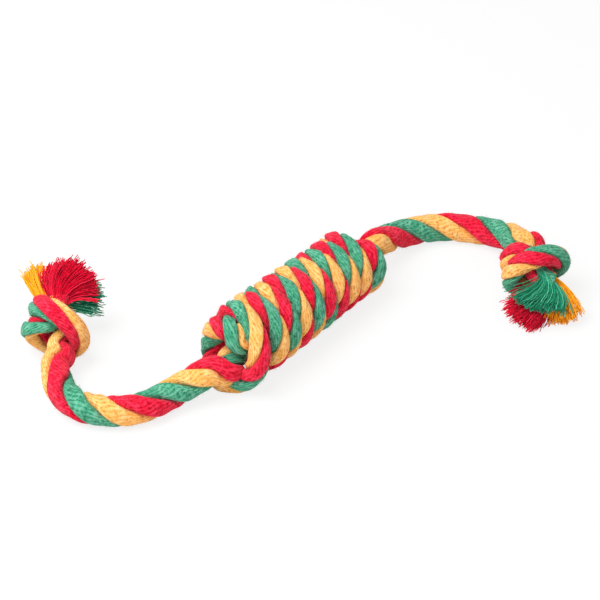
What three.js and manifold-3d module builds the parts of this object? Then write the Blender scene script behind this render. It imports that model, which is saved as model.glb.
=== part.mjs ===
// Rope dog toy: one three-strand cotton rope, tied into a long barrel knot in the middle and
// into a small knot near each end, where the strands fray into three coloured tufts.
// Millimetres. +Z is up, the floor is z = 0, +X runs along the barrel knot.
// The route is drawn in rope diameters, in path order from the left tuft to the right tuft.
import * as THREE from 'three';
import Module from 'manifold-3d';

// Driving dimensions
const ropeDiameter = 15.5;                 // mm, the rope as laid
const armSwell = 1.10;                     // the free rope is a little fatter
const strandGap = 0.3;                     // mm, left between two pieces that meet end to end
const barrelTurns = 8.94;                  // turns at full radius; the two curls add more
const barrelPitch = 0.734;                 // from one turn to the next
const barrelLeft = -3.2;                   // where the last full turn ends
const barrelRadii = [1.20, 1.05];          // centreline radius at the left and right end
const barrelSquashShares = [0.78, 0.71];   // wound rope: height and width against free rope
const barrelEndAngle = 280;                // degrees, where the last full turn ends
const flatDepth = 0.1;                     // the lowest turns are pressed flat by this much
const curlSquashShares = [0.86, 0.86];     // the last turn is free on one side
const barrelLoose = [0.95, 0.06];          // and stands off the others, left and right
const coreOffset = 0.35;                   // each pass inside the barrel, off its axis
const coreSquashShares = [0.62, 0.86];
const knotAngles = [0, 280];               // end knots: the wrap over the core, in degrees
const knotRadius = 1.06;
const knotPitch = 0.95;
const knotFlat = 0.93;                     // an end knot is this much lower than wide
const knotSquashShares = [0.70, 0.86];
const knotCoreShares = [0.56, 0.78];
const knotCoreOffset = 0.34;               // each pass inside an end knot, off its axis
const coreInset = { entry: [0.2, 0.4], exit: [0.4, 0.2] };   // the core passes' ends, from the knot's
const strandReach = 0.485;                 // from the rope's axis to a strand's outer face
const startRadius = 0.12;                  // a tuft where it leaves its strand
const tuftBend = 0.4;                      // how far a tuft goes straight on before it spreads
const originShift = [-4.183, -0.993, 0];   // mm, brings the middle of the toy over the origin
const mergeTolerance = 0.02;               // mm, joins the slivers that the flat cut leaves
const cordColours = { red: 0xd8173c, green: 0x2f8f6c, yellow: 0xf6a945 };

// Small helpers
const D = ropeDiameter;
const V = (x, y, z) => new THREE.Vector3(x, y, z);
const rad = THREE.MathUtils.degToRad;
const mixed = (a, b, f) => a + (b - a) * f;

// One station of the route: place, outward direction and the two squash shares there.
const station = (p, out, shares) => ({ p, out: out.clone().normalize(), s: shares });

// A place round an axis: radius, degrees and distance along it.
function turned(frame, r, degrees, along, shares) {
  const a = rad(degrees);
  const out = frame.side.clone().multiplyScalar(Math.cos(a))
    .addScaledVector(frame.up, Math.sin(a) * frame.flat);
  const p = frame.centre.clone().addScaledVector(out, r).addScaledVector(frame.along, along);
  if (frame.lift) p.z += frame.lift(along);
  return station(p, out, shares);
}

// The curls that close a knot: degrees past the last full turn, radius share, drop past the end
const leftCurl = [
  [40, 1.0, -0.50], [85, 0.84, -0.62], [130, 0.80, -0.60], [170, 0.74, -0.52],
  [202, 0.54, -0.52], [225, 0.29, -1.35],
];
const rightCurl = [
  [40, 1.0, 0.08], [85, 0.98, 0.22], [130, 0.89, 0.36], [170, 0.70, 0.42], [200, 0.48, 0.22],
  [220, 0.33, -0.35],
];
const knotCurl = [[35, 1.0, 0.04], [75, 0.95, 0.12], [112, 0.72, 0.12], [148, 0.38, -0.25]];

// Where the rope enters and leaves a knot: distance past the knot's end, radius, turn in degrees
// and squash shares
const barrelEntry = [[-1.04, 0.57, -91, [0.82, 0.86]], [-0.45, 0.42, -52, [0.72, 0.84]]];
const barrelExit = [[0.3, 0.31, 0, [0.62, 0.86]], [0.85, 0.34, 0, [0.95, 0.98]]];
const leftEntry = [[-0.3, 0.32, 0, [0.66, 0.85]]];
const leftExit = [[0.25, 0.34, 0, [0.62, 0.85]], [0.62, 0.56, 0, [0.85, 0.95]]];
const rightEntry = [[-0.85, 0.36, 0, [0.95, 1]], [-0.3, 0.34, 0, [0.62, 0.85]]];
const rightExit = [[0.25, 0.34, 60, [0.62, 0.85]], [0.52, 0.46, 125, [0.85, 0.95]]];

// The end knots: centre, and the direction from the arm to the tuft
const leftKnotPlace = [V(-6.79, 6.11, 1.30), V(0.92, 0.18, 0.34)];
const rightKnotPlace = [V(8.00, -5.73, 1.28), V(-0.63, -0.69, -0.33)];
const leftKnotTurn = -45;                  // degrees, turns the entry round the knot's axis

// A knot of the barrel family: the rope enters along the axis, runs through the core, curls
// out at the far end, winds back left-handed over the core, curls in and leaves through it.
function barrelKnot(frame, o) {
  const list = [];
  const [wound, core] = [o.squash, o.coreSquash];
  const [startAngle, endAngle] = o.angles;
  const turns = (endAngle - startAngle) / 360;
  const farEnd = o.from + turns * o.pitch;
  const place = (r, degrees, along, shares) => list.push(turned(frame, r, degrees, along, shares));
  const [nearCurl, farCurl] = o.curls;
  const [nearLoose, farLoose] = o.loose;
  const innerA = startAngle - farCurl.at(-1)[0];
  const innerB = endAngle + nearCurl.at(-1)[0];
  const nearA = innerB - 180 + o.entryTurn;
  const farB = innerA + 180;
  const curlShares = (k, curl) => {
    const f = Math.min(1, (curl.length - 1 - k) / 3);
    return [mixed(core[0], o.curlSquash[0], f), mixed(core[1], o.curlSquash[1], f)];
  };
  o.entry.forEach(([along, r, turn, shares]) => place(r, nearA + turn, o.from + along, shares));
  const endA = innerA - Math.round((innerA - nearA) / 360) * 360;
  o.core.forEach((f) => place(o.offset, mixed(nearA, endA, f),
    mixed(o.from + coreInset.entry[0], farEnd - coreInset.entry[1], f), core));
  for (let k = farCurl.length - 1; k >= 0; k--) {
    const [degrees, share, drop] = farCurl[k];
    place(o.radii[1] * share, startAngle - degrees, farEnd + drop + farLoose,
      curlShares(k, farCurl));
  }
  const steps = Math.max(2, Math.round(turns * 9));
  for (let i = 0; i <= steps; i++) {
    const f = i / steps;
    const near = Math.max(0, 1 - (steps - i) / o.ramp);
    const far = Math.max(0, 1 - i / o.ramp);
    const w = Math.max(near, far);
    place(mixed(o.radii[1], o.radii[0], f), mixed(startAngle, endAngle, f),
      mixed(farEnd, o.from, f) - near * nearLoose + far * farLoose,
      [mixed(wound[0], o.curlSquash[0], w), mixed(wound[1], o.curlSquash[1], w)]);
  }
  nearCurl.forEach(([degrees, share, drop], k) => place(o.radii[0] * share,
    endAngle + degrees, o.from - drop - nearLoose, curlShares(k, nearCurl)));
  const startB = innerB - Math.round((innerB - farB) / 360) * 360;
  o.core.forEach((f) => place(o.offset, mixed(startB, farB, f),
    mixed(o.from + coreInset.exit[0], farEnd - coreInset.exit[1], f), core));
  o.exit.forEach(([along, r, turn, shares]) => place(r, farB + turn, farEnd + along, shares));
  return list;
}

// The three knots
const [outerLeft, outerRight] = barrelRadii.map((r) => (
  r + strandReach * barrelSquashShares[0] - flatDepth));
const barrelLength = barrelTurns * barrelPitch;
const alongBarrel = (x) => THREE.MathUtils.clamp((x - barrelLeft) / barrelLength, 0, 1);
const barrelFrame = {
  centre: V(0, 0, 0), side: V(0, 1, 0), up: V(0, 0, 1), along: V(1, 0, 0), flat: 1,
  lift: (x) => mixed(outerLeft, outerRight, alongBarrel(x)),
};
const free = [armSwell, armSwell];
const barrel = barrelKnot(barrelFrame, {
  angles: [barrelEndAngle - 360 * barrelTurns, barrelEndAngle], pitch: barrelPitch,
  from: barrelLeft, radii: barrelRadii, offset: coreOffset, squash: barrelSquashShares,
  coreSquash: coreSquashShares, core: [0.04, 0.3, 0.65, 0.95],
  curls: [leftCurl, rightCurl], curlSquash: curlSquashShares, loose: barrelLoose, ramp: 5,
  entryTurn: 0, entry: barrelEntry, exit: barrelExit,
});

// A hand of 1 winds an end knot left-handed, and -1 mirrors it.
function endKnot([centre, along], hand, entryTurn, entry, exit) {
  const w = along.clone().normalize();
  const side = V(0, 0, 1).cross(w).normalize();
  const up = w.clone().cross(side);
  side.multiplyScalar(hand);
  const length = (knotAngles[1] - knotAngles[0]) / 360 * knotPitch;
  return barrelKnot({ centre, side, up, along: w, flat: knotFlat }, {
    angles: knotAngles, pitch: knotPitch, from: -length / 2, radii: [knotRadius, knotRadius],
    offset: knotCoreOffset, squash: knotSquashShares, coreSquash: knotCoreShares, core: [0.5],
    curls: [knotCurl, knotCurl], curlSquash: knotSquashShares, loose: [0, 0], ramp: 1,
    entryTurn, entry, exit,
  });
}
const leftKnot = endKnot(leftKnotPlace, 1, leftKnotTurn, leftEntry, leftExit).reverse();
const rightKnot = endKnot(rightKnotPlace, -1, 0, rightEntry, rightExit);

// The free arms, chosen by hand: x, y, z
const leftArm = [
  [-7.50, 5.30, 0.78], [-7.88, 5.16, 0.70], [-8.20, 4.82, 0.62], [-8.55, 4.35, 0.56],
  [-8.83, 3.65, 0.55], [-8.80, 2.74, 0.55], [-8.52, 2.15, 0.55], [-8.00, 1.50, 0.55],
  [-7.24, 1.03, 0.55], [-6.30, 0.80, 0.58], [-5.50, 0.50, 0.77], [-4.82, 0.04, 1.08],
];
const rightArm = [
  [4.85, 0.00, 1.34], [5.60, 0.10, 1.08], [6.72, 0.05, 0.74], [7.68, -0.27, 0.57],
  [8.45, -0.87, 0.55], [9.08, -1.85, 0.56], [9.36, -2.77, 0.66], [9.33, -3.60, 0.88],
  [8.95, -4.42, 1.20],
];
const armStations = (list) => list.map((p) => station(V(...p), V(0, 0, 1), free));
const stations = [...leftKnot, ...armStations(leftArm), ...barrel, ...armStations(rightArm),
  ...rightKnot];

// Centripetal curve through the stations, in many short steps.
function fineRoute(list) {
  const P = list.map((s) => s.p);
  const n = P.length;
  const at = (i) => (i < 0 ? P[0].clone().multiplyScalar(2).sub(P[1])
    : i >= n ? P[n - 1].clone().multiplyScalar(2).sub(P[n - 2]) : P[i]);
  const out = [];
  const pieces = 20;
  for (let i = 0; i < n - 1; i++) {
    const c = [at(i - 1), at(i), at(i + 1), at(i + 2)];
    const t = [0];
    for (let k = 0; k < 3; k++) t.push(t[k] + Math.sqrt(c[k].distanceTo(c[k + 1])));
    for (let k = 0; k < pieces; k++) {
      const u = mixed(t[1], t[2], k / pieces);
      const mix = (a, b, ta, tb) => a.clone().multiplyScalar((tb - u) / (tb - ta))
        .addScaledVector(b, (u - ta) / (tb - ta));
      const a1 = mix(c[0], c[1], t[0], t[1]);
      const a2 = mix(c[1], c[2], t[1], t[2]);
      const a3 = mix(c[2], c[3], t[2], t[3]);
      const p = mix(mix(a1, a2, t[0], t[2]), mix(a2, a3, t[1], t[3]), t[1], t[2]);
      out.push({ p, at: i + k / pieces });
    }
  }
  out.push({ p: P[n - 1].clone(), at: n - 1 });
  out[0].run = 0;
  for (let i = 1; i < out.length; i++) {
    out[i].run = out[i - 1].run + out[i].p.distanceTo(out[i - 1].p);
  }
  return out;
}

// Directions carried along the route without twist, outward from the middle of the barrel.
function carryDirections(route, list) {
  const last = route.length - 1;
  route.forEach((q, i) => {
    q.t = route[Math.min(last, i + 1)].p.clone().sub(route[Math.max(0, i - 1)].p).normalize();
    const k = Math.min(list.length - 2, Math.floor(q.at));
    const g = q.at - k;
    const out = list[k].out.clone().lerp(list[k + 1].out, g);
    q.e = out.addScaledVector(q.t, -out.dot(q.t)).normalize();
    q.f = q.t.clone().cross(q.e);
    q.s = [0, 1].map((j) => mixed(list[k].s[j], list[k + 1].s[j], g));
  });
  const mid = route.findIndex((q) => q.at >= leftKnot.length + leftArm.length + barrel.length / 2);
  const carry = (i, n) => {
    const q = route[i];
    q.n = n.clone().addScaledVector(q.t, -n.dot(q.t)).normalize();
    q.b = q.t.clone().cross(q.n);
    return q.n;
  };
  let n = carry(mid, V(0, 0, 1));
  for (let i = mid + 1; i <= last; i++) n = carry(i, n);
  n = route[mid].n;
  for (let i = mid - 1; i >= 0; i--) n = carry(i, n);
}

const fine = fineRoute(stations);
carryDirections(fine, stations);

// Turns of lay counted along the rope, at station numbers. Wound rope is laid tighter.
const layTurns = [
  [0, 0.4], [3, 0.62], [6, 0.90], [9, 1.09], [12, 1.41], [18, 2.23], [24, 2.64], [27, 3.3],
  [33, 4.8], [39, 7.1], [42, 7.8], [45, 8.74], [51, 10.2], [57, 11.4], [69, 14.2], [78, 16.3],
  [87, 18.5], [93, 20.0], [105, 23.3], [111, 25.7], [117, 27.25], [120, 28.0], [123, 28.68],
  [126, 29.8], [129, 30.9], [132, 31.44], [135, 33.1], [138, 34.1], [144, 35.63],
  [147, 36.13], [153, 36.37], [156, 37.23], [159, 37.81], [162, 37.95], [168, 38.63],
];
fine.forEach((q) => {
  let k = 0;
  while (k < layTurns.length - 2 && layTurns[k + 1][0] < q.at) k++;
  const [a, b] = [layTurns[k], layTurns[k + 1]];
  q.phase = mixed(a[1], b[1], (q.at - a[0]) / (b[0] - a[0])) * Math.PI * 2;
});

// Stretches of the rope: first and last station, and the longest step between two rings
const first = leftKnot.length;
const wound = first + leftArm.length;
const done = wound + barrel.length;
const stretches = [
  ['left_knot', 0, first - 0.5, 0.29],
  ['left_arm', first - 0.5, wound - 0.5, 0.27],
  ['inner_pass_a', wound - 0.5, wound + 5.6, 0.30],
  ['barrel_winding', wound + 5.6, done - 6.6, 0.285],
  ['inner_pass_b', done - 6.6, done - 0.5, 0.30],
  ['right_arm', done - 0.5, done + rightArm.length - 0.5, 0.27],
  ['right_knot', done + rightArm.length - 0.5, stations.length - 1, 0.29],
];

// The route at one length along it, blended between two fine steps
function routeAt(run) {
  let lo = 0;
  let hi = fine.length - 1;
  while (hi - lo > 1) {
    const m = (lo + hi) >> 1;
    if (fine[m].run <= run) lo = m; else hi = m;
  }
  const [A, B] = [fine[lo], fine[hi]];
  const f = THREE.MathUtils.clamp((run - A.run) / (B.run - A.run), 0, 1);
  const q = { p: A.p.clone().lerp(B.p, f), s: [0, 1].map((j) => mixed(A.s[j], B.s[j], f)) };
  ['t', 'n', 'b', 'e', 'f'].forEach((k) => { q[k] = A[k].clone().lerp(B[k], f).normalize(); });
  q.phase = mixed(A.phase, B.phase, f);
  return q;
}
const runOf = (mark) => {
  const k = fine.findIndex((q) => q.at >= mark - 1e-6);
  return fine[k].run;
};

// Section of one strand, a rounded third of the rope: across and along, in rope diameters
const lobe = [
  [0.02, 0], [0.15, 0.21], [0.36, 0.21], [strandReach, 0], [0.36, -0.21], [0.15, -0.21],
];
const strandCentre = 0.26;
function strandPoint(q, which, u, v) {
  const a = q.phase + which * Math.PI * 2 / 3;
  const off = q.n.clone().multiplyScalar(u * Math.cos(a) - v * Math.sin(a))
    .addScaledVector(q.b, u * Math.sin(a) + v * Math.cos(a));
  const [de, df] = [off.dot(q.e) * q.s[0], off.dot(q.f) * q.s[1]];
  return q.p.clone().addScaledVector(q.e, de).addScaledVector(q.f, df).multiplyScalar(D);
}
const strandRing = (q, which) => lobe.map(([u, v]) => strandPoint(q, which, u, v));

// A closed body through the rings, with a fan at each end. The short diagonals keep the
// twisted flanks hollow, so neighbouring strands stay clear of each other.
function loft(rings) {
  const m = rings[0].length;
  const pos = rings.flat().flatMap((p) => [p.x, p.y, p.z]);
  const idx = [];
  for (let i = 0; i < rings.length - 1; i++) {
    for (let j = 0; j < m; j++) {
      const a = i * m + j;
      const b = i * m + (j + 1) % m;
      idx.push(a, a + m, b, b, a + m, b + m);
    }
  }
  [0, rings.length - 1].forEach((row, end) => {
    const c = rings[row].reduce((sum, p) => sum.add(p), V(0, 0, 0)).multiplyScalar(1 / m);
    const k = pos.length / 3;
    pos.push(c.x, c.y, c.z);
    for (let j = 0; j < m; j++) {
      const a = row * m + j;
      const b = row * m + (j + 1) % m;
      idx.push(...(end ? [k, b, a] : [k, a, b]));
    }
  });
  const g = new THREE.BufferGeometry();
  g.setAttribute('position', new THREE.Float32BufferAttribute(pos, 3));
  g.setIndex(idx);
  return g;
}

// The strands lie in the order red, yellow, green round the rope. What would reach under the
// floor is cut flat there, as soft rope is pressed flat.
const order = ['red', 'yellow', 'green'];
const wasm = await Module();
wasm.setup();
const root = new THREE.Group();
function addPiece(name, geometry, colour) {
  geometry.computeBoundingBox();
  let shape = geometry;
  if (geometry.boundingBox.min.z < 0) {
    const solid = new wasm.Manifold(new wasm.Mesh({
      numProp: 3, vertProperties: geometry.attributes.position.array,
      triVerts: new Uint32Array(geometry.index.array),
    })).trimByPlane([0, 0, 1], 0).simplify(mergeTolerance).getMesh();
    shape = new THREE.BufferGeometry();
    shape.setAttribute('position', new THREE.Float32BufferAttribute(solid.vertProperties, 3));
    shape.setIndex([...solid.triVerts]);
  }
  const skin = new THREE.MeshStandardMaterial({ color: cordColours[colour], roughness: 0.9 });
  const mesh = new THREE.Mesh(shape, skin);
  mesh.name = name;
  root.add(mesh);
}
const built = {};
for (const [name, from, to, step] of stretches) {
  const a = runOf(from) + strandGap / D / 2;
  const b = runOf(to) - strandGap / D / 2;
  const count = Math.ceil((b - a) / step);
  const places = Array.from({ length: count + 1 }, (_, i) => routeAt(mixed(a, b, i / count)));
  order.forEach((colour, k) => {
    const rings = places.map((q) => strandRing(q, k));
    built[`${name}_${colour}`] = rings;
    addPiece(`${name}_${colour}`, loft(rings), colour);
  });
}

// Tufts: each strand frays into loose yarn. A tuft starts on its strand's end and fans out.
// Colour: reach of the tip from there, direction it spreads in, half width, half thickness.
const tufts = {
  left: {
    red: [V(1.33, 0.20, 0.66), V(0.34, -0.87, -0.36), 1.00, 0.34],
    yellow: [V(0.30, 1.35, 0.60), V(0.81, -0.41, 0.42), 0.34, 0.22],
    green: [V(1.28, -0.90, -0.32), V(0.49, 0.42, 0.77), 0.36, 0.22],
  },
  right: {
    red: [V(-1.82, 0.22, -0.80), V(0.65, -0.76, 0), 0.56, 0.30],
    yellow: [V(-0.56, -1.36, -0.88), V(0.65, -0.76, 0), 0.48, 0.28],
    green: [V(-1.40, -0.44, -0.22), V(0.40, -0.87, -0.31), 0.90, 0.16],
  },
};

// Share of the way to the tip, and share of the full width there
const tuftShares = [
  [0, 0], [0.15, 0], [0.3, 0.12], [0.55, 0.55], [0.8, 1], [0.95, 0.98], [1, 0.8],
];
const tuftSides = 10;
function tuft(q, which, outward, [tip, spread, wide, thick]) {
  const base = strandPoint(q, which, strandCentre, 0).divideScalar(D);
  base.addScaledVector(outward, strandGap / D);
  const bend = base.clone().addScaledVector(outward, tuftBend);
  const end = base.clone().add(tip);
  const rings = tuftShares.map(([f, g]) => {
    const p = base.clone().multiplyScalar((1 - f) ** 2).addScaledVector(bend, 2 * f * (1 - f))
      .addScaledVector(end, f * f);
    const t = bend.clone().sub(base).multiplyScalar(1 - f)
      .addScaledVector(end.clone().sub(bend), f).normalize();
    const across = spread.clone().addScaledVector(t, -spread.dot(t)).normalize();
    const over = t.clone().cross(across);
    return Array.from({ length: tuftSides }, (_, k) => {
      const a = k / tuftSides * Math.PI * 2;
      return p.clone().addScaledVector(across, Math.cos(a) * mixed(startRadius, wide, g))
        .addScaledVector(over, -Math.sin(a) * mixed(startRadius, thick, g)).multiplyScalar(D);
    });
  });
  return loft(rings);
}
[['left', 0, -1], ['right', fine.at(-1).run, 1]].forEach(([side, run, sign]) => {
  const q = routeAt(run);
  const outward = q.t.clone().multiplyScalar(sign);
  order.forEach((colour, k) => {
    addPiece(`${side}_tuft_${colour}`, tuft(q, k, outward, tufts[side][colour]), colour);
  });
});

// The origin is on the floor, under the middle of the box round the whole toy.
root.children.forEach((m) => m.geometry.translate(...originShift));

// Least gap between one strand and itself, measured between the points of rings that lie
// more than two rope diameters apart along it
const apartAlong = 2;
function leastGap(rings, step) {
  const apart = Math.ceil(apartAlong / step);
  let least = Infinity;
  for (let i = 0; i < rings.length; i++) {
    for (let j = i + apart; j < rings.length; j++) {
      for (const p of rings[i]) for (const q of rings[j]) least = Math.min(least, p.distanceTo(q));
    }
  }
  return least;
}
for (const [name, , , step] of stretches) {
  const gaps = order.map((c) => leastGap(built[`${name}_${c}`], step)).filter(Number.isFinite);
  if (gaps.length) console.log(name, 'least gap to itself, mm', Math.min(...gaps).toFixed(2));
}
console.log('rope length, mm', (fine.at(-1).run * D).toFixed(0));
const size = new THREE.Box3().setFromObject(root);
console.log('box, mm', size.min.toArray(), size.max.toArray());
export default root;
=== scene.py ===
# %% [markdown]
# # Rope dog toy
# The real toy is one length of three-strand cotton rope, red, yellow and green. It is tied into
# a long barrel knot in the middle and into a small knot near each end, where the strands fray
# into tufts. The route of the rope is the one of the CAD model, drawn in rope diameters and
# turned into metres here, so that every strand lies where its solid lies.

# %% Load the CAD model
import math
import random

import bmesh
import bpy
import numpy as np
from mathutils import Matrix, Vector


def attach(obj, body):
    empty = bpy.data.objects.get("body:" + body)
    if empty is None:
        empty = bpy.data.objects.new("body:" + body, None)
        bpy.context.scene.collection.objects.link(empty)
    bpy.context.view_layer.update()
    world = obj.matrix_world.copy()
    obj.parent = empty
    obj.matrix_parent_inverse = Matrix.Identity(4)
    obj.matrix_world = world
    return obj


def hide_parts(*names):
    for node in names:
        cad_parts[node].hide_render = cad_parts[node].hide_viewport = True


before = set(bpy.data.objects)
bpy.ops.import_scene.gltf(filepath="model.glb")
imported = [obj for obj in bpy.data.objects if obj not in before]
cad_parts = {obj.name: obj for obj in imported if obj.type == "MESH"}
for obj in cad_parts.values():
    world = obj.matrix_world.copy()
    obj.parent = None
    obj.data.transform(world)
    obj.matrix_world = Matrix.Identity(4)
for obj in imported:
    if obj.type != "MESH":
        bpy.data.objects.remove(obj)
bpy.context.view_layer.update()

# %% [markdown]
# ## The camera
# The photograph looks down on the toy from the front left with a long lens. Its direction and
# place were found from the barrel knot, the arms and the floor, and stay fixed from here on.

# %% Camera
rope_diameter = 0.0155                       # m, the rope as laid: the unit of the route
origin_shift = np.array([-0.004183, -0.000993, 0.0])
camera_azimuth = math.radians(40.2)          # the way the camera looks, from +X towards +Y
camera_tilt = math.radians(40.1)
camera_place = np.array([-45.0, -38.3, 51.34])   # in rope diameters
camera_lens, sensor_width = 120.0, 36.0      # mm

looking = Vector((math.cos(camera_azimuth) * math.cos(camera_tilt),
                  math.sin(camera_azimuth) * math.cos(camera_tilt), -math.sin(camera_tilt)))
camera = bpy.data.objects.new("camera", bpy.data.cameras.new("camera"))
camera.data.lens = camera_lens
camera.data.sensor_width = sensor_width
camera.location = camera_place * rope_diameter + origin_shift
camera.rotation_euler = looking.to_track_quat("-Z", "Y").to_euler()
bpy.context.collection.objects.link(camera)
bpy.context.scene.camera = camera
print("camera lens, mm:", camera_lens)

# %% [markdown]
# ## Small helpers
# A material or a Geometry Nodes group could be wired by hand, one link at a time. One function
# that adds a node with its settings and its links keeps each group short enough to read. Colours
# are written as sRGB hex, as a paint program shows them, and turned linear in one place.

# %% Node helpers
def linear(hex_colour):
    """The linear RGBA of an sRGB colour such as "E41E3E"."""
    shares = [int(hex_colour[k:k + 2], 16) / 255 for k in (0, 2, 4)]
    curve = [c / 12.92 if c <= 0.04045 else ((c + 0.055) / 1.055) ** 2.4 for c in shares]
    return (*curve, 1.0)


def add_node(tree, kind, settings=None, **inputs):
    """A node of that kind. An input named i0 is the first one, i1 the second and so on.

    Its value is a number or colour, the socket that feeds it, or a node for its first output.
    """
    node = tree.nodes.new(kind)
    for name, value in (settings or {}).items():
        setattr(node, name, value)
    for name, value in inputs.items():
        key = int(name[1:]) if name[1:].isdigit() else name.replace("_", " ")
        if isinstance(value, bpy.types.Node):
            value = value.outputs[0]
        if isinstance(value, bpy.types.NodeSocket):
            tree.links.new(value, node.inputs[key])
        else:
            node.inputs[key].default_value = value
    return node


def new_material(name):
    """A material without nodes, and its node tree."""
    material = bpy.data.materials.new(name)
    material.use_nodes = True
    material.node_tree.nodes.clear()
    return material, material.node_tree


multiply, multiply_add = {"operation": "MULTIPLY"}, {"operation": "MULTIPLY_ADD"}
white = (1.0, 1.0, 1.0, 1.0)
print("middle grey, linear:", round(linear("808080")[0], 3))

# %% [markdown]
# ## The white studio
# The toy lies on white paper under soft light. More light would whiten the paper but bleach the
# cotton too. So the paper glows a little towards the camera alone, which leaves the soft shadow,
# and the lamps stay at a plain level.

# %% Floor, backdrop and lights
paper_grey = (0.75, 0.75, 0.75, 1.0)         # linear
glow_share = 0.82                            # of the paper's white is its own, not the lamps'
floor_half_width = 3.0                       # m


def white_paper(name):
    """Matt white paper, which glows towards the camera so that only shadows show on it."""
    material, tree = new_material(name)
    path = add_node(tree, "ShaderNodeLightPath")
    plain = add_node(tree, "ShaderNodeBsdfDiffuse", Color=paper_grey)
    glow = add_node(tree, "ShaderNodeEmission", Color=white, Strength=1.0)
    share = add_node(tree, "ShaderNodeMath", multiply, i0=path.outputs["Is Camera Ray"],
                     i1=glow_share)
    both = add_node(tree, "ShaderNodeMixShader", i0=share, i1=plain, i2=glow)
    add_node(tree, "ShaderNodeOutputMaterial", Surface=both)
    return material


def add_floor(h):
    """A square of paper under the toy, as far as h to each side."""
    mesh = bpy.data.meshes.new("floor")
    mesh.from_pydata([(-h, -h, 0), (h, -h, 0), (h, h, 0), (-h, h, 0)], [], [(0, 1, 2, 3)])
    mesh.materials.append(white_paper("white paper floor"))
    floor = bpy.data.objects.new("floor", mesh)
    bpy.context.collection.objects.link(floor)


def add_area_light(name, place, size, power):
    """A square soft light that looks at the toy."""
    data = bpy.data.lights.new(name, "AREA")
    data.size = size
    data.energy = power
    light = bpy.data.objects.new(name, data)
    light.location = place
    light.rotation_euler = (-Vector(place)).to_track_quat("-Z", "Y").to_euler()
    bpy.context.collection.objects.link(light)


def white_world(strength):
    """A white sky that lights the toy, and shows pure white behind it."""
    world = bpy.data.worlds.new("white studio")
    bpy.context.scene.world = world
    world.use_nodes = True
    tree = world.node_tree
    tree.nodes.clear()
    path = add_node(tree, "ShaderNodeLightPath")
    sky = add_node(tree, "ShaderNodeBackground", Color=white, Strength=strength)
    seen = add_node(tree, "ShaderNodeBackground", Color=white, Strength=1.0)
    both = add_node(tree, "ShaderNodeMixShader", i0=path.outputs["Is Camera Ray"], i1=sky,
                    i2=seen)
    add_node(tree, "ShaderNodeOutputWorld", Surface=both)


bpy.context.scene.view_settings.view_transform = "Standard"
add_floor(floor_half_width)
white_world(0.6)
add_area_light("key light above", (-0.35, 0.25, 0.9), 0.7, 11.5)
add_area_light("fill light in front", (-0.8, -0.7, 0.45), 0.9, 2.6)

# %% [markdown]
# ## The route of the rope
# A knot could be modelled as a lump with turns drawn on it, but then nothing would be tied. Here
# the rope really runs through each knot. One function makes all three: the rope enters on the
# axis, runs through the core, curls out at the far end, winds back over the core left-handed,
# curls in and leaves through the core. The arms are listed points. All places are in
# rope diameters.

# %% Driving sizes of the route
arm_swell = 1.10                             # the free rope is a little fatter
barrel_turns = 8.94                          # at full radius; the two curls add more
barrel_pitch = 0.734                         # from one turn to the next
barrel_left = -3.2                           # where the last full turn ends
barrel_radii = (1.20, 1.05)                  # left and right
barrel_end_angle = 280                       # degrees, where the last full turn ends
flat_depth = 0.1                             # the lowest turns are pressed flat by this much
barrel_loose = (0.95, 0.06)                  # how far the end turns stand off, left and right
core_offset = 0.35                           # each pass inside the barrel, off its axis
knot_angles = (0, 280)                       # degrees, where an end knot's turn starts and ends
knot_radius = 1.06
knot_pitch = 0.95
knot_flat = 0.93                             # an end knot is this much lower than wide
knot_core_offset = 0.34                      # each pass inside an end knot, off its axis
core_insets = (0.2, 0.4)                     # the core passes' ends, from the knot's ends
strand_reach = 0.485                         # from the rope's middle to a strand's outer side
stations_per_turn = 9

# How pressed rope is squashed: its depth and its breadth, as shares of the laid rope's
barrel_squash_shares = (0.78, 0.71)
curl_squash_shares = (0.90, 0.91)
core_squash_shares = (0.62, 0.86)
knot_squash_shares = (0.70, 0.86)
knot_core_shares = (0.56, 0.78)

# The curls that close a knot: degrees past the last turn, radius share, drop past the end
left_curl = [(40, 1.0, -0.50), (85, 0.84, -0.62), (130, 0.80, -0.60), (170, 0.74, -0.52),
             (202, 0.54, -0.52), (225, 0.29, -1.35)]
right_curl = [(40, 1.0, 0.08), (85, 0.98, 0.22), (130, 0.89, 0.36), (170, 0.70, 0.42),
              (200, 0.48, 0.22), (220, 0.33, -0.35)]
knot_curl = [(35, 1.0, 0.04), (75, 0.95, 0.12), (112, 0.72, 0.12), (148, 0.38, -0.25)]

# The free arms: x, y and z
left_arm = [
    (-7.50, 5.30, 0.78), (-7.88, 5.16, 0.70), (-8.20, 4.82, 0.62), (-8.55, 4.35, 0.56),
    (-8.83, 3.65, 0.55), (-8.80, 2.74, 0.55), (-8.52, 2.15, 0.55), (-8.00, 1.50, 0.55),
    (-7.24, 1.03, 0.55), (-6.30, 0.80, 0.58), (-5.50, 0.50, 0.77), (-4.78, 0.07, 1.13)]
right_arm = [
    (4.85, 0.00, 1.34), (5.60, 0.10, 1.08), (6.72, 0.05, 0.74), (7.68, -0.27, 0.57),
    (8.45, -0.87, 0.55), (9.08, -1.85, 0.56), (9.36, -2.77, 0.66), (9.33, -3.60, 0.88),
    (8.95, -4.42, 1.20)]

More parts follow.
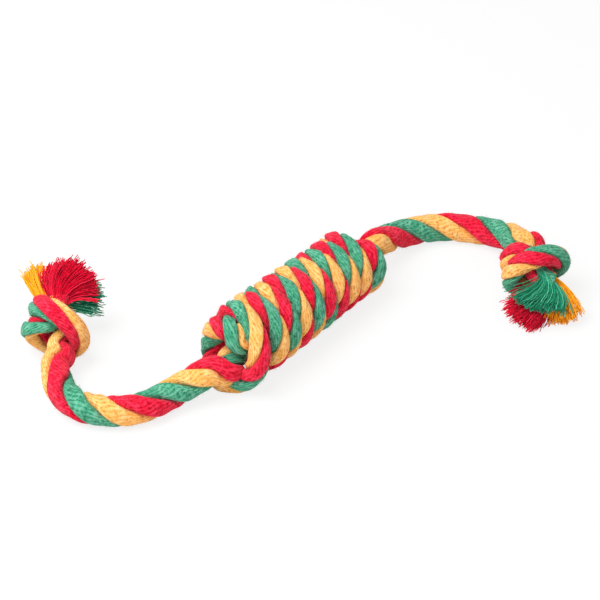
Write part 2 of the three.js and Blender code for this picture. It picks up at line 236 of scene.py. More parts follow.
# Turns of lay counted along the rope, at station numbers
lay_turns = [
    (0, 0.4), (3, 0.62), (6, 0.90), (9, 1.09), (12, 1.41), (18, 2.23), (24, 2.64), (27, 3.3),
    (33, 4.8), (39, 7.1), (42, 7.8), (45, 8.74), (51, 10.2), (57, 11.4), (69, 14.2),
    (78, 16.3), (87, 18.5), (93, 20.0), (105, 23.3), (111, 25.7), (117, 27.25), (120, 28.0),
    (123, 28.68), (126, 29.8), (129, 30.9), (132, 31.44), (135, 33.1), (138, 34.1),
    (144, 35.63), (147, 36.13), (153, 36.37), (156, 37.23), (159, 37.81), (162, 37.95),
    (168, 38.63)]
print("barrel turns:", barrel_turns)


# %% One function for all three knots
def mixed(a, b, f):
    """The value a share f of the way from a to b."""
    return a + (b - a) * f


def unit(v):
    """The same directions with a length of 1."""
    return v / np.linalg.norm(v, axis=-1, keepdims=True)


def turned(knot, r, degrees, along, shares):
    """A station round a knot's axis: its place, the way outward and the squash there."""
    a = math.radians(degrees)
    out = knot["side"] * math.cos(a) + knot["up"] * (math.sin(a) * knot["flat"])
    p = knot["centre"] + out * r + knot["along"] * along
    if "lift" in knot:
        p = p + np.array([0, 0, knot["lift"](along)])
    return p, unit(out), shares


def barrel_knot(knot, o):
    """The stations of a barrel knot, in the order of the rope.

    The sizes are in o. Its ramp is the number of stations over which the turns at each end
    swell and stand off. An entry or exit holds a distance from the knot's end, a radius, an
    angle past the core pass and the squash.
    """
    stations = []
    wound, core, curl_squash = o["squash"], o["core_squash"], o["curl_squash"]
    start_angle, end_angle = o["angles"]
    turns = (end_angle - start_angle) / 360
    far_end = o["start"] + turns * o["pitch"]
    near_curl, far_curl = o["curls"]
    near_loose, far_loose = o["loose"]
    short_inset, long_inset = core_insets
    inner_a = start_angle - far_curl[-1][0]
    inner_b = end_angle + near_curl[-1][0]
    near_a = inner_b - 180 + o["entry_turn"]
    far_b = inner_a + 180

    def place(r, degrees, along, shares):
        stations.append(turned(knot, r, degrees, along, shares))

    def curl_shares(k, curl):
        f = min(1, (len(curl) - 1 - k) / 3)  # the squash of the core takes over in three steps
        return [mixed(core[j], curl_squash[j], f) for j in (0, 1)]

    for along, r, turn, shares in o["entry"]:
        place(r, near_a + turn, o["start"] + along, shares)
    end_a = inner_a - round((inner_a - near_a) / 360) * 360
    for f in o["core"]:
        place(o["offset"], mixed(near_a, end_a, f),
              mixed(o["start"] + short_inset, far_end - long_inset, f), core)
    for k in range(len(far_curl) - 1, -1, -1):
        degrees, share, drop = far_curl[k]
        place(o["radii"][1] * share, start_angle - degrees, far_end + drop + far_loose,
              curl_shares(k, far_curl))
    steps = max(2, round(turns * stations_per_turn))
    for i in range(steps + 1):
        f = i / steps
        near = max(0, 1 - (steps - i) / o["ramp"])
        far = max(0, 1 - i / o["ramp"])
        w = max(near, far)
        place(mixed(o["radii"][1], o["radii"][0], f), mixed(start_angle, end_angle, f),
              mixed(far_end, o["start"], f) - near * near_loose + far * far_loose,
              [mixed(wound[j], curl_squash[j], w) for j in (0, 1)])
    for k, (degrees, share, drop) in enumerate(near_curl):
        place(o["radii"][0] * share, end_angle + degrees, o["start"] - drop - near_loose,
              curl_shares(k, near_curl))
    start_b = inner_b - round((inner_b - far_b) / 360) * 360
    for f in o["core"]:
        place(o["offset"], mixed(start_b, far_b, f),
              mixed(o["start"] + long_inset, far_end - short_inset, f), core)
    for along, r, turn, shares in o["exit"]:
        place(r, far_b + turn, far_end + along, shares)
    return stations


# %% The barrel knot, the end knots and the arms
def big_knot():
    """The long barrel knot, which lies on the floor along X."""
    height = strand_reach * barrel_squash_shares[0] - flat_depth
    length = barrel_turns * barrel_pitch

    def lift(x):
        f = min(1, max(0, (x - barrel_left) / length))
        return mixed(barrel_radii[0] + height, barrel_radii[1] + height, f)

    knot = {"centre": np.zeros(3), "side": np.array([0.0, 1, 0]), "up": np.array([0.0, 0, 1]),
            "along": np.array([1.0, 0, 0]), "flat": 1, "lift": lift}
    return barrel_knot(knot, {
        "angles": (barrel_end_angle - 360 * barrel_turns, barrel_end_angle),
        "pitch": barrel_pitch, "start": barrel_left, "radii": barrel_radii,
        "offset": core_offset, "squash": barrel_squash_shares,
        "core_squash": core_squash_shares, "core": (0.04, 0.3, 0.65, 0.95),
        "curls": (left_curl, right_curl), "curl_squash": curl_squash_shares,
        "loose": barrel_loose, "ramp": 5, "entry_turn": 0,
        "entry": [(-1.04, 0.55, -88, (1.10, 1.10)), (-0.45, 0.42, -52, (0.98, 1.02))],
        "exit": [(0.3, 0.31, 0, (0.62, 0.86)), (0.85, 0.34, 0, (0.95, 0.98))]})


def end_knot(centre, along, hand, entry_turn, entry, exit_places):
    """A small knot; along points from its arm to its tuft, and a hand of -1 mirrors it."""
    w = unit(np.array(along))
    side = unit(np.cross((0, 0, 1), w))
    length = (knot_angles[1] - knot_angles[0]) / 360 * knot_pitch
    knot = {"centre": np.array(centre), "side": side * hand, "up": np.cross(w, side),
            "along": w, "flat": knot_flat}
    return barrel_knot(knot, {
        "angles": knot_angles, "pitch": knot_pitch, "start": -length / 2,
        "radii": (knot_radius, knot_radius), "offset": knot_core_offset,
        "squash": knot_squash_shares, "core_squash": knot_core_shares, "core": (0.5,),
        "curls": (knot_curl, knot_curl), "curl_squash": knot_squash_shares, "loose": (0, 0),
        "ramp": 1,
        "entry_turn": entry_turn, "entry": entry, "exit": exit_places})


def arm_stations(points):
    """The stations of a free arm, which is round and a little fatter."""
    up = np.array([0.0, 0, 1])
    return [(np.array(p), up, (arm_swell, arm_swell)) for p in points]


left_knot = end_knot((-6.79, 6.11, 1.30), (0.92, 0.18, 0.34), 1, -45,
                     [(-0.3, 0.32, 0, (0.66, 0.85))],
                     [(0.25, 0.34, 0, (0.62, 0.85)), (0.62, 0.56, 0, (0.85, 0.95))])[::-1]
right_knot = end_knot((8.00, -5.73, 1.28), (-0.63, -0.69, -0.33), -1, 0,
                      [(-0.85, 0.36, 0, (0.95, 1)), (-0.3, 0.34, 0, (0.62, 0.85))],
                      [(0.25, 0.34, 60, (0.62, 0.85)), (0.52, 0.46, 125, (0.85, 0.95))])
barrel = big_knot()
stations = [*left_knot, *arm_stations(left_arm), *barrel, *arm_stations(right_arm), *right_knot]
print("stations of the route:", len(stations))

# %% [markdown]
# ## Directions along the route
# A centripetal curve runs through the stations, because it doesn't overshoot where they lie
# close together. A direction is carried along it without twist, both ways from the middle of
# the barrel, and the lay turns the three strands about the rope from there.


# %% Fine route
def curve_points(places, pieces=20):
    """Points of a centripetal curve through the places, and the station number of each."""
    padded = np.vstack([2 * places[0] - places[1], places, 2 * places[-1] - places[-2]])
    share = np.arange(pieces) / pieces
    points, marks = [], []
    for i in range(len(places) - 1):
        c = padded[i:i + 4]
        gaps = np.sqrt(np.linalg.norm(np.diff(c, axis=0), axis=1))
        t = np.concatenate([[0], np.cumsum(gaps)])
        u = mixed(t[1], t[2], share)[:, None]

        def blend(a, b, ta, tb):
            return a * ((tb - u) / (tb - ta)) + b * ((u - ta) / (tb - ta))

        a1, a2, a3 = (blend(c[k], c[k + 1], t[k], t[k + 1]) for k in range(3))
        points.append(blend(blend(a1, a2, t[0], t[2]), blend(a2, a3, t[1], t[3]), t[1], t[2]))
        marks.append(i + share)
    points.append(places[-1:])
    marks.append([len(places) - 1])
    return np.vstack(points), np.concatenate(marks)


def carried(tangents, middle):
    """A direction square to the tangents, carried along them both ways from the middle."""
    normals = np.zeros_like(tangents)

    def carry(i, n):
        n = n - tangents[i] * n.dot(tangents[i])
        normals[i] = n / math.sqrt(n.dot(n))

    carry(middle, np.array([0.0, 0, 1]))
    for i in range(middle + 1, len(tangents)):
        carry(i, normals[i - 1])
    for i in range(middle - 1, -1, -1):
        carry(i, normals[i + 1])
    return normals


def fine_route():
    """Every quantity along the route, one row for each fine point."""
    places = np.array([s[0] for s in stations])
    outward = np.array([s[1] for s in stations])
    squash = np.array([s[2] for s in stations], dtype=float)
    p, mark = curve_points(places)
    run = np.concatenate([[0], np.cumsum(np.linalg.norm(np.diff(p, axis=0), axis=1))])
    t = unit(np.vstack([p[1] - p[0], p[2:] - p[:-2], p[-1] - p[-2]]))
    number = np.arange(len(stations))
    out = np.stack([np.interp(mark, number, outward[:, k]) for k in range(3)], axis=1)
    e = unit(out - t * (out * t).sum(axis=1, keepdims=True))
    middle = int(np.argmax(mark >= len(left_knot) + len(left_arm) + len(barrel) / 2))
    n = carried(t, middle)
    s = np.stack([np.interp(mark, number, squash[:, k]) for k in range(2)], axis=1)
    lay = np.array(lay_turns)
    phase = np.interp(mark, lay[:, 0], lay[:, 1]) * 2 * math.pi
    return {"p": p, "t": t, "n": n, "e": e, "s": s, "phase": phase[:, None], "run": run,
            "mark": mark}


route = fine_route()
print("rope length, m:", round(route["run"][-1] * rope_diameter, 3))


def route_at(runs):
    """The route at lengths along it: places, directions, squash and phase."""
    at = {key: np.stack([np.interp(runs, route["run"], column) for column in route[key].T], axis=1)
          for key in ("p", "t", "n", "e", "s", "phase")}
    for key in ("t", "n", "e"):
        at[key] = unit(at[key])
    at["b"] = np.cross(at["t"], at["n"])
    at["f"] = np.cross(at["t"], at["e"])
    return at


def run_of(mark):
    """The length along the rope at a station number."""
    return float(np.interp(mark, route["mark"], route["run"]))


# %% [markdown]
# ## Strands
# A laid rope has no core: its strands are rounded thirds, pressed against each other. Each
# strand is a tube of rings along the route, with soft lumps as hand-tied cotton has. A curve
# with a bevel couldn't follow the squashed section. The UV map holds the way round the strand
# and the length along it in metres, which place the yarns of its material.

# %% Strand meshes
colours = ("red", "yellow", "green")         # their order round the rope
strand_sides = 26
strand_step = 0.055                          # rope diameters between two rings
fullness = 1.05                              # the yarn bulges past the CAD solids by this
strand_centre = 0.262                        # from the middle of the rope


half_depth, half_width = 0.243, 0.325        # of a strand's section
taper = 0.3                                  # a strand narrows this much towards the middle
lump_waves, lump_height = 7, 0.006           # waves of lumps on a strand, and each one's share
floor_gap = 0.0002                           # m, the strands stay above the floor by this


def strand_section(sides):
    """Points of one strand's section: outward and across, in rope diameters."""
    a = np.arange(sides) / sides * 2 * math.pi
    u = strand_centre + half_depth * np.cos(a)
    v = -half_width * np.sin(a) * (1 + taper * np.cos(a))
    return u, v


def lumps(along, around, seed):
    """Soft uneven swelling of a strand, about one part in thirty."""
    chance = random.Random(seed)
    total = np.zeros((len(along), len(around)))
    for _ in range(lump_waves):
        wave, turns = chance.uniform(1.5, 9.0), chance.choice((0, 1, 2, 3))
        shift = chance.uniform(0, 6.3)
        total += np.sin(along[:, None] * wave + around[None] * turns + shift)
    return 1 + total * lump_height


def strand_rings(runs, which, seed):
    """Ring points of one strand at those lengths along the rope, in metres."""
    at = route_at(runs)
    u, v = strand_section(strand_sides)
    around = np.arange(strand_sides) / strand_sides * 2 * math.pi
    swell = lumps(runs, around, seed) * fullness
    a = at["phase"] + which * 2 * math.pi / 3
    u = strand_centre + (u[None] - strand_centre) * swell
    v = v[None] * swell
    x, y = u * np.cos(a) - v * np.sin(a), u * np.sin(a) + v * np.cos(a)
    off = x[..., None] * at["n"][:, None] + y[..., None] * at["b"][:, None]
    de = (off * at["e"][:, None]).sum(-1, keepdims=True) * at["s"][:, None, :1]
    df = (off * at["f"][:, None]).sum(-1, keepdims=True) * at["s"][:, None, 1:]
    points = at["p"][:, None] + de * at["e"][:, None] + df * at["f"][:, None]
    points = points * rope_diameter + origin_shift
    points[..., 2] = np.maximum(points[..., 2], floor_gap)
    return points


def tube_mesh(name, rings, runs):
    """A closed tube through the rings, with a UV map: the way round it and along it."""
    rows, sides = rings.shape[:2]
    i, j = np.meshgrid(np.arange(rows - 1), np.arange(sides), indexing="ij")
    k = (j + 1) % sides
    quads = np.stack([(i + 1) * sides + j, (i + 1) * sides + k, i * sides + k, i * sides + j], -1)
    first = list(range(sides))
    last = [(rows - 1) * sides + n for n in reversed(first)]
    mesh = bpy.data.meshes.new(name)
    faces = quads.reshape(-1, 4).tolist() + [first, last]
    mesh.from_pydata(rings.reshape(-1, 3).tolist(), [], faces)
    along = runs * rope_diameter
    corners = np.stack([np.stack([(j + d) / sides, along[i + r]], -1)
                        for d, r in ((0, 1), (1, 1), (1, 0), (0, 0))], -2)
    uvs = np.vstack([corners.reshape(-1, 2), np.zeros((2 * sides, 2))])
    mesh.uv_layers.new(name="strand").data.foreach_set("uv", uvs.ravel())
    mesh.update()
    return mesh


print("sides of a strand:", strand_sides, "- step along it, mm:",
      round(strand_step * rope_diameter * 1000, 2))

# %% [markdown]
# ## Cotton
# A strand is a bundle of spun, dyed cotton yarns. Cotton is matt, with a weak sheen where loose
# fibres catch the light. Short slits between yarns run slantwise round the strand, dark with
# painted shade, and a paler bloom on the fuzz is a painted sheen. Modelled yarns would be millions
# of triangles, so the slits and the grain, with their painted shade and sheen, are a pattern on
# the strand's own UV map.

# %% Cotton materials
strand_dye_shade_and_sheen = {                           # deep: painted shade in grooves, main, light: painted sheen on fuzz
    "red": ("7C0018", "E0082F", "FF4464"),
    "yellow": ("AE6014", "FDB358", "FFDA9C"),
    "green": ("0A3E2C", "3C9A74", "86C8AE"),
}
tuft_colours = {
    "red": ("70001A", "DC002E", "FF3058"),
    "yellow": ("DE8000", "FFA80C", "FFCC50"),
    "green": ("064A36", "1A966E", "74D8B4"),
}


# Cotton is matt all over: rough, almost without gloss, and with the weak sheen of its fuzz
cotton_roughness, cotton_specular = 0.95, 0.1
cotton_sheen, sheen_roughness = 0.1, 0.5
strand_yarns = 16.0                          # round a strand
yarn_step = -0.0024                          # m along it to the next yarn; minus slants it left
drift_size, drift_yarns = 0.006, 0.9         # m, and how many yarns' widths a yarn wanders
slit_length = 0.0023                         # m
patch_size = 0.0065                          # m, patches of stronger painted sheen
fibre_size, tuft_fibre_size = 0.0006, 0.00055   # m, drawn coarser than real ones, so they show
strand_bump, tuft_bump = 0.0004, 0.0002      # m
# How much each pattern adds to how full the cotton stands, and where the painted shade of the
# slits and the painted sheen of the fuzz begin
streak_share, fibre_share, crest_share, patch_share = 2.2, 1.35, 0.42, 1.2
groove_shade_range, sheen_range, most_sheen = (1.28, 2.02), (2.48, 3.28), 0.75


def cotton_shader(tree, colour, height, distance):
    """The shared end of a cotton material: colour, matt finish, sheen and bump."""
    bump = add_node(tree, "ShaderNodeBump", Strength=1.0, Distance=distance, Height=height)
    shader = add_node(tree, "ShaderNodeBsdfPrincipled", Base_Color=colour,
                      Roughness=cotton_roughness, Specular_IOR_Level=cotton_specular,
                      Sheen_Weight=cotton_sheen, Sheen_Roughness=sheen_roughness, Normal=bump)
    add_node(tree, "ShaderNodeOutputMaterial", Surface=shader)


def strand_cotton(name, deep, main, light):
    """Cotton of a laid strand: yarns follow its own UV map, with painted shade and painted sheen.
    """
    material, tree = new_material(name)
    place = add_node(tree, "ShaderNodeUVMap", {"uv_map": "strand"})
    parts = add_node(tree, "ShaderNodeSeparateXYZ", Vector=place)
    where = add_node(tree, "ShaderNodeTexCoord").outputs["Object"]
    # Yarns are counted round the strand, slant along it and wander a little
    drift = add_node(tree, "ShaderNodeTexNoise", Vector=where, Scale=1 / drift_size, Detail=1.0)
    count = add_node(tree, "ShaderNodeMath", multiply, i0=parts.outputs[0], i1=strand_yarns)
    count = add_node(tree, "ShaderNodeMath", multiply_add, i0=parts.outputs[1],
                     i1=1 / yarn_step, i2=count)
    count = add_node(tree, "ShaderNodeMath", multiply_add, i0=drift, i1=drift_yarns, i2=count)
    turn = add_node(tree, "ShaderNodeMath", multiply, i0=count, i1=math.pi)
    wave = add_node(tree, "ShaderNodeMath", {"operation": "SINE"}, i0=turn)
    crest = add_node(tree, "ShaderNodeMath", {"operation": "ABSOLUTE"}, i0=wave)
    # Slits between yarns open and close over a few millimetres, dark with painted shade
    lengthwise = add_node(tree, "ShaderNodeMath", {"operation": "DIVIDE"}, i0=parts.outputs[1],
                          i1=slit_length)
    yarn_place = add_node(tree, "ShaderNodeCombineXYZ", X=count, Y=lengthwise)
    streak = add_node(tree, "ShaderNodeTexNoise", Vector=yarn_place, Scale=1.0, Detail=2.0,
                      Roughness=0.6)
    fibre = add_node(tree, "ShaderNodeTexNoise", Vector=where, Scale=1 / fibre_size, Detail=3.0,
                     Roughness=0.7)
    patch = add_node(tree, "ShaderNodeTexNoise", Vector=where, Scale=1 / patch_size, Detail=2.0)
    # How full the cotton stands, for the bump and for the painted light: low in slits and grooves,
    # which get painted shade, and high on crests and fuzz, which get painted sheen
    body = add_node(tree, "ShaderNodeMath", multiply, i0=crest, i1=crest_share)
    body = add_node(tree, "ShaderNodeMath", multiply_add, i0=streak, i1=streak_share, i2=body)
    body = add_node(tree, "ShaderNodeMath", multiply_add, i0=fibre, i1=fibre_share, i2=body)
    unshaded_share = add_node(tree, "ShaderNodeMapRange", i0=body, i1=groove_shade_range[0], i2=groove_shade_range[1],
                    i3=0.0, i4=1.0)
    sheen_amount = add_node(tree, "ShaderNodeMath", multiply_add, i0=patch, i1=patch_share, i2=body)
    sheen_mask = add_node(tree, "ShaderNodeMapRange", i0=sheen_amount, i1=sheen_range[0], i2=sheen_range[1],
                    i3=0.0, i4=most_sheen)
    # Painted shade: slits and grooves between yarns get the deep colour
    deep_to_main = add_node(tree, "ShaderNodeMix", {"data_type": "RGBA"}, i0=unshaded_share, i6=linear(deep),
                    i7=linear(main))
    # Painted sheen: crests and fuzz get the light colour, more in random patches
    painted_sheen_mix = add_node(tree, "ShaderNodeMix", {"data_type": "RGBA"}, i0=sheen_mask, i6=deep_to_main.outputs[2],
                     i7=linear(light))
    cotton_shader(tree, painted_sheen_mix.outputs[2], body, strand_bump)
    return material


def tuft_cotton(name, deep, main, light):
    """Cotton of the loose yarns of a tuft: each yarn has its own shade."""
    material, tree = new_material(name)
    shade = add_node(tree, "ShaderNodeAttribute", {"attribute_name": "shade"}).outputs["Fac"]
    where = add_node(tree, "ShaderNodeTexCoord").outputs["Object"]
    fibre = add_node(tree, "ShaderNodeTexNoise", Vector=where, Scale=1 / tuft_fibre_size,
                     Detail=4.0)
    low = add_node(tree, "ShaderNodeMapRange", i0=shade, i1=0.0, i2=0.45, i3=0.5, i4=1.0)
    high = add_node(tree, "ShaderNodeMapRange", i0=shade, i1=0.6, i2=1.0, i3=0.0, i4=0.6)
    deep_to_main = add_node(tree, "ShaderNodeMix", {"data_type": "RGBA"}, i0=low, i6=linear(deep),
                    i7=linear(main))
    lit = add_node(tree, "ShaderNodeMix", {"data_type": "RGBA"}, i0=high, i6=deep_to_main.outputs[2],
                   i7=linear(light))
    cotton_shader(tree, lit.outputs[2], fibre, tuft_bump)
    return material


strand_materials = {c: strand_cotton(f"{c} cotton strand", *strand_dye_shade_and_sheen[c]) for c in colours}
tuft_materials = {c: tuft_cotton(f"{c} cotton tuft yarn", *tuft_colours[c]) for c in colours}
print("cotton materials:", len(strand_materials) + len(tuft_materials))

# %% [markdown]
# ## Fuzz and loose yarns
# Cotton rope is fuzzy: short loose fibres stand off every strand, and where it frays the yarns
# come apart. Both repeat thousands of times, so Geometry Nodes make them. One group scatters
# bent fibres over a strand. The other turns guide lines into waving yarns.

# %% The start and the end that both groups share
fuzz_density = 350000.0                      # fibres on a square metre
lowest = 0.0001                              # m, nothing hangs under this


def new_group(name, sockets):
    """An empty geometry group with named inputs: name, socket type and default value."""
    group = bpy.data.node_groups.new(name, "GeometryNodeTree")
    group.interface.new_socket("Geometry", in_out="INPUT", socket_type="NodeSocketGeometry")
    group.interface.new_socket("Geometry", in_out="OUTPUT", socket_type="NodeSocketGeometry")
    for label, kind, value in sockets:
        socket = group.interface.new_socket(label, in_out="INPUT", socket_type=kind)
        if value is not None:
            socket.default_value = value
    return group, add_node(group, "NodeGroupInput").outputs


def end_group(group, geometry, material):
    """Raises what has come under the floor, sets the material and ends the group."""
    place = add_node(group, "GeometryNodeInputPosition")
    parts = add_node(group, "ShaderNodeSeparateXYZ", Vector=place)
    height = add_node(group, "ShaderNodeMath", {"operation": "MAXIMUM"}, i0=parts.outputs[2],
                      i1=lowest)
    onto = add_node(group, "ShaderNodeCombineXYZ", X=parts.outputs[0], Y=parts.outputs[1],
                    Z=height)
    lifted = add_node(group, "GeometryNodeSetPosition", Geometry=geometry, Position=onto)
    cotton = add_node(group, "GeometryNodeSetMaterial", Geometry=lifted, Material=material)
    add_node(group, "NodeGroupOutput", Geometry=cotton)
    print("group:", group.name, "- nodes:", len(group.nodes))


# %% [markdown]
# ### Fuzz
# Spun cotton has short fibre ends standing off it along its whole length, and they soften its
# outline. A hair system could grow them, but hair is lost in the export. So one fibre, a bent
# ribbon of three faces, is set on thousands of points of the strand, turned and sized by chance.

# %% Fuzz
def fuzz_group():
    """Scatters short bent fibres over a mesh and joins them to it."""
    group, given = new_group("cotton fuzz", [
        ("Density", "NodeSocketFloat", fuzz_density), ("Length", "NodeSocketFloat", 0.0016),
        ("Width", "NodeSocketFloat", 0.00007), ("Seed", "NodeSocketInt", 1),
        ("Material", "NodeSocketMaterial", None)])
    points = add_node(group, "GeometryNodeDistributePointsOnFaces", Mesh=given["Geometry"],
                      Density=given["Density"], Seed=given["Seed"])
    # One fibre, which leans over as it rises, drawn for a length of 1 and scaled
    bent = add_node(group, "ShaderNodeCombineXYZ", X=0.35, Z=0.55)
    tip = add_node(group, "ShaderNodeCombineXYZ", X=1.0, Z=0.75)
    curve = add_node(group, "GeometryNodeCurveQuadraticBezier", Resolution=3, Start=(0, 0, 0),
                     Middle=bent, End=tip)
    long = add_node(group, "ShaderNodeCombineXYZ", X=given["Length"], Y=given["Length"],
                    Z=given["Length"])
    sized = add_node(group, "GeometryNodeTransform", Geometry=curve, Scale=long)
    half = add_node(group, "ShaderNodeCombineXYZ", Y=given["Width"])
    line = add_node(group, "GeometryNodeCurvePrimitiveLine", End=half)
    fibre = add_node(group, "GeometryNodeCurveToMesh", Curve=sized, Profile_Curve=line)
    # Each point gets the fibre, turned and sized by chance
    spin = add_node(group, "FunctionNodeRandomValue", {"data_type": "FLOAT_VECTOR"},
                    i0=(-0.5, -0.5, 0.0), i1=(0.5, 0.5, 6.28), Seed=given["Seed"])
    turn = add_node(group, "FunctionNodeEulerToRotation", Euler=spin)
    facing = add_node(group, "FunctionNodeRotateRotation", {"rotation_space": "LOCAL"},
                      Rotation=points.outputs["Rotation"], Rotate_By=turn)
    size = add_node(group, "FunctionNodeRandomValue", {"data_type": "FLOAT"}, i2=0.3, i3=1.0,
                    Seed=given["Seed"])
    many = add_node(group, "GeometryNodeInstanceOnPoints", Points=points, Instance=fibre,
                    Rotation=facing, Scale=size.outputs[1])
    real = add_node(group, "GeometryNodeRealizeInstances", Geometry=many)
    both = add_node(group, "GeometryNodeJoinGeometry")
    group.links.new(given["Geometry"], both.inputs[0])
    group.links.new(real.outputs[0], both.inputs[0])
    end_group(group, both, given["Material"])
    return group


fuzz = fuzz_group()


# %% [markdown]
# ### Loose yarns
# Where the rope frays, each yarn hangs free and keeps some of the curl that its twist gave it.
# Copies of one yarn would all bend alike. So each follows a guide line of its own, and a noise
# that grows towards the tip makes it wave.

# %% Loose yarns
def yarn_group():
    """Turns guide lines into waving yarns with a round section."""
    group, given = new_group("loose yarns", [
        ("Radius", "NodeSocketFloat", 0.00026), ("Wave", "NodeSocketFloat", 0.0026),
        ("Wave Scale", "NodeSocketFloat", 300.0), ("Material", "NodeSocketMaterial", None)])
    curve = add_node(group, "GeometryNodeMeshToCurve", Mesh=given["Geometry"])
    smooth = add_node(group, "GeometryNodeCurveSplineType", {"spline_type": "CATMULL_ROM"},
                      Curve=curve)
    fine = add_node(group, "GeometryNodeResampleCurve", Curve=smooth, Count=14)
    # The number of a yarn moves its place in the noise, so that each waves by itself
    factor = add_node(group, "GeometryNodeSplineParameter").outputs["Factor"]
    own = add_node(group, "GeometryNodeInputNamedAttribute", {"data_type": "FLOAT"}, Name="yarn")
    place = add_node(group, "GeometryNodeInputPosition")
    apart = add_node(group, "ShaderNodeCombineXYZ", X=own, Y=own)
    moved = add_node(group, "ShaderNodeVectorMath", {"operation": "ADD"}, i0=place, i1=apart)
    noise = add_node(group, "ShaderNodeTexNoise", Vector=moved, Scale=given["Wave Scale"],
                     Detail=1.0)
    centred = add_node(group, "ShaderNodeVectorMath", {"operation": "SUBTRACT"},
                       i0=noise.outputs["Color"], i1=(0.5, 0.5, 0.5))
    amount = add_node(group, "ShaderNodeMath", multiply, i0=given["Wave"], i1=factor)
    push = add_node(group, "ShaderNodeVectorMath", {"operation": "SCALE"}, i0=centred,
                    Scale=amount)
    waved = add_node(group, "GeometryNodeSetPosition", Geometry=fine, Offset=push)
    ring = add_node(group, "GeometryNodeCurvePrimitiveCircle", Resolution=5,
                    Radius=given["Radius"])
    tube = add_node(group, "GeometryNodeCurveToMesh", Curve=waved, Profile_Curve=ring,
                    Fill_Caps=True)
    end_group(group, tube, given["Material"])
    return group


loose_yarns = yarn_group()


# %% [markdown]
# ### From a group to a plain mesh
# The modifier could stay on the piece, but an export needs finished geometry. So the result is
# copied to a plain mesh, and the modifier is taken off before the piece is attached to the root
# body.

# %% From a group to a plain mesh
def through_nodes(name, mesh, material, group, **values):
    """An object whose mesh has been through a geometry group, with no modifier left on it."""
    source = bpy.data.objects.new(name, mesh)
    bpy.context.collection.objects.link(source)
    modifier = source.modifiers.new("nodes", "NODES")
    modifier.node_group = group
    for item in group.interface.items_tree:
        if item.name in values:
            modifier[item.identifier] = values[item.name]
    modifier[group.interface.items_tree["Material"].identifier] = material
    depsgraph = bpy.context.evaluated_depsgraph_get()
    result = bpy.data.meshes.new_from_object(
        source.evaluated_get(depsgraph), preserve_all_data_layers=True, depsgraph=depsgraph)
    source.modifiers.clear()
    source.data = result
    result.polygons.foreach_set("use_smooth", [True] * len(result.polygons))
    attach(source, "root")
    return source


def joined(name, objects, materials):
    """One object made of several, which are removed, with a material for each."""
    whole = bmesh.new()
    mesh = bpy.data.meshes.new(name)
    for number, part in enumerate(objects):
        start = len(whole.faces)
        whole.from_mesh(part.data)
        whole.faces.ensure_lookup_table()
        for face in whole.faces[start:]:
            face.material_index = number
        mesh.materials.append(materials[number])
    whole.to_mesh(mesh)
    whole.free()
    for part in objects:
        bpy.data.objects.remove(part)
    one = bpy.data.objects.new(name, mesh)
    bpy.context.collection.objects.link(one)
    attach(one, "root")
    return one


# %% [markdown]
# ## Rope pieces
# Each stretch of each strand stands for its CAD node, so that a reader can find the left knot's
# red strand by name. The three strands of a free arm are one piece, because an arm is a cord
# that bends as one. Nobody sees the rope inside the barrel, so its fuzz is left out.

# %% Where each stretch starts and ends, as station numbers
overlap = 0.01                               # two stretches of a strand run into each other
first = len(left_knot)
wound = first + len(left_arm)
done = wound + len(barrel)
last = done + len(right_arm)
winding_start, winding_end = wound + 5.6, done - 6.6     # inside lie the hidden passes
stretches = {
    "left_knot": (0, first - 0.5), "inner_pass_a": (wound - 0.5, winding_start),
    "barrel_winding": (winding_start, winding_end), "inner_pass_b": (winding_end, done - 0.5),
    "right_knot": (last - 0.5, len(stations) - 1)}
arms = {"left_arm": (first - 0.5, wound - 0.5), "right_arm": (done - 0.5, last - 0.5)}


def runs_between(marks):
    """Lengths along the rope for the rings between two station numbers."""
    a, b = run_of(marks[0]) - overlap, run_of(marks[1]) + overlap
    return np.linspace(a, b, math.ceil((b - a) / strand_step) + 1)


for name, marks in {**stretches, **arms}.items():
    print(name, "rings:", len(runs_between(marks)))


# %% Make the strands
def strand_piece(name, colour, number, runs, density=fuzz_density):
    """One strand of one stretch, with its fuzz."""
    mesh = tube_mesh(name, strand_rings(runs, number, colour), runs)
    return through_nodes(name, mesh, strand_materials[colour], fuzz, Density=density,
                         Seed=number + 1)


for name, marks in stretches.items():
    density = 0.0 if name.startswith("inner") else fuzz_density
    for k, colour in enumerate(colours):
        node = f"{name}_{colour}"
        strand_piece(f"{node}_strand", colour, k, runs_between(marks), density)
        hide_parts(node)
for name, marks in arms.items():
    joined(f"{name}_rope", [
        strand_piece(f"{name}_{colour}_strand", colour, k, runs_between(marks))
        for k, colour in enumerate(colours)], [strand_materials[c] for c in colours])
    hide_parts(*(f"{name}_{c}" for c in colours))

# %% [markdown]
# ## Tufts
# Past each end knot the strands are unlaid and combed out, and the cut yarns fan out. Hair
# particles would be lost in the export, so each yarn is a guide line made into a thin tube. It
# starts inside its strand's end. Yarns lie in locks: each lock has its own place in the fan and
# its yarns keep near it, apart from a few strays.

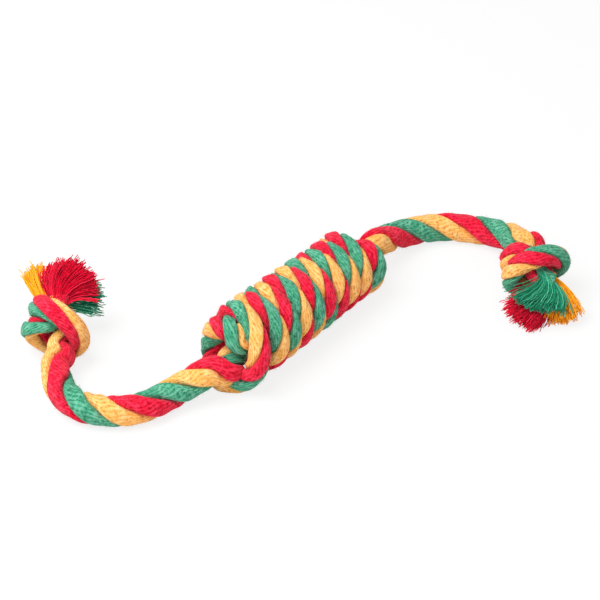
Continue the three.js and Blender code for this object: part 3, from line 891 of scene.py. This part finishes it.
# %% Make the tufts
# Reach of the tip, direction it spreads in, half the angle of the fan in degrees, thickness,
# how much longer its far side is, how much longer both sides are, and the number of yarns
tufts = {
    "left": {
        "red": ((1.20, 0.34, 0.66), (0.34, -0.87, -0.36), 58, 0.55, 0.08, 0, 1050),
        "yellow": ((0.36, 1.33, 0.62), (0.81, -0.41, 0.42), 21, 0.26, -0.12, 0, 260),
        "green": ((1.28, -0.90, -0.32), (0.49, 0.42, 0.77), 25, 0.28, 0, 0, 150)},
    "right": {
        "red": ((-1.73, 0.25, -0.70), (0.65, -0.76, 0), 29, 0.45, 0.03, 0, 880),
        "yellow": ((-0.86, -1.18, -0.92), (0.65, -0.76, 0), 26, 0.45, 0.04, 0, 640),
        "green": ((-1.30, -0.38, -0.34), (0.40, -0.87, -0.31), 38, 0.22, -0.24, 0.18, 680)}}
sway = {"left": np.array([-0.25, 0.30, 0.0]), "right": np.zeros(3)}   # before it spreads
lock_count, lock_turn = 38, 2.4              # 2.4 radians apart, they fill a disc evenly
lock_spread, stray_spread, stray_chance = 0.14, 0.35, 0.08
root_depth, root_width = 0.45, 0.17          # how deep in its strand a yarn starts, how wide
root_offset, root_sway = 0.85, 0.3           # shares of the strand's offset and of the sway
bend_reach, bend_stray = 0.25, 0.8           # how far out a yarn bends, and its share of stray
bulge = 0.3                                  # how wide a fan is already near its strand
guide_points = 8
lowest_guide = 0.0008                        # m, leaves room for the yarn and its wave


def guide_lines(at, which, outward, facts, swayed, seed):
    """Guide lines of a tuft's yarns: a list of point lists, in rope diameters."""
    tip, spread, angle, thick, lean, flare, yarn_count = facts
    tip, spread = np.array(tip), np.array(spread)
    a = at["phase"][0, 0] + which * 2 * math.pi / 3
    off = (at["n"][0] * math.cos(a) + at["b"][0] * math.sin(a)) * strand_centre
    base = at["p"][0] + off * root_offset
    chance = random.Random(seed)
    length = np.linalg.norm(tip)
    along = unit(tip)
    across = unit(spread - along * spread.dot(along))
    over = np.cross(along, across)
    locks = []
    for k in range(lock_count):
        turn, r = k * lock_turn, math.sqrt((k + 0.5) / lock_count)
        locks.append((math.cos(turn) * r, math.sin(turn) * r, chance.uniform(0.86, 1.06)))
    lines = []
    for _ in range(yarn_count):
        x, y, reach = chance.choice(locks)
        loose = stray_spread if chance.random() < stray_chance else lock_spread
        x, y = x + chance.gauss(0, loose), y + chance.gauss(0, loose)
        root = base + (across * x + over * y) * root_width - outward * root_depth
        root = root + swayed * root_sway
        fan = math.radians(angle) * x
        way = along * math.cos(fan) + across * math.sin(fan)
        reach *= (1 + lean * x + flare * x * x) * chance.uniform(0.88, 1.05)
        stray = np.array([chance.gauss(0, 0.05) for _ in range(3)])
        end = base + way * length * reach + over * y * thick + stray
        bend = base + outward * bend_reach + way * bend_reach + over * y * thick * bulge
        bend = bend + stray * bend_stray + (swayed + across * x * bulge)
        lines.append([(1 - f) ** 2 * root + 2 * f * (1 - f) * bend + f * f * end
                      for f in np.linspace(0, 1, guide_points)])
    return lines


def lines_mesh(name, lines, seed):
    """Guide lines as a mesh of edges, each with a number of its own and a shade."""
    chance = random.Random(seed)
    points = np.array(lines)
    count, steps = points.shape[:2]
    place = points.reshape(-1, 3) * rope_diameter + origin_shift
    place[:, 2] = np.maximum(place[:, 2], lowest_guide)
    edges = [(i * steps + k, i * steps + k + 1) for i in range(count) for k in range(steps - 1)]
    mesh = bpy.data.meshes.new(name)
    mesh.from_pydata(place.tolist(), edges, [])
    for label in ("yarn", "shade"):
        values = np.repeat([chance.random() for _ in range(count)], steps)
        mesh.attributes.new(label, "FLOAT", "POINT").data.foreach_set("value", values)
    return mesh


for side, run, sign in (("left", 0.0, -1), ("right", float(route["run"][-1]), 1)):
    at = route_at(np.array([run]))
    outward = at["t"][0] * sign
    for k, colour in enumerate(colours):
        name = f"{side}_tuft_{colour}"
        lines = guide_lines(at, k, outward, tufts[side][colour], sway[side], name)
        mesh = lines_mesh(name, lines, name)
        piece = through_nodes(f"{name}_yarns", mesh, tuft_materials[colour], loose_yarns)
        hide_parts(name)
        print(name, "triangles:", sum(len(f.vertices) - 2 for f in piece.data.polygons))
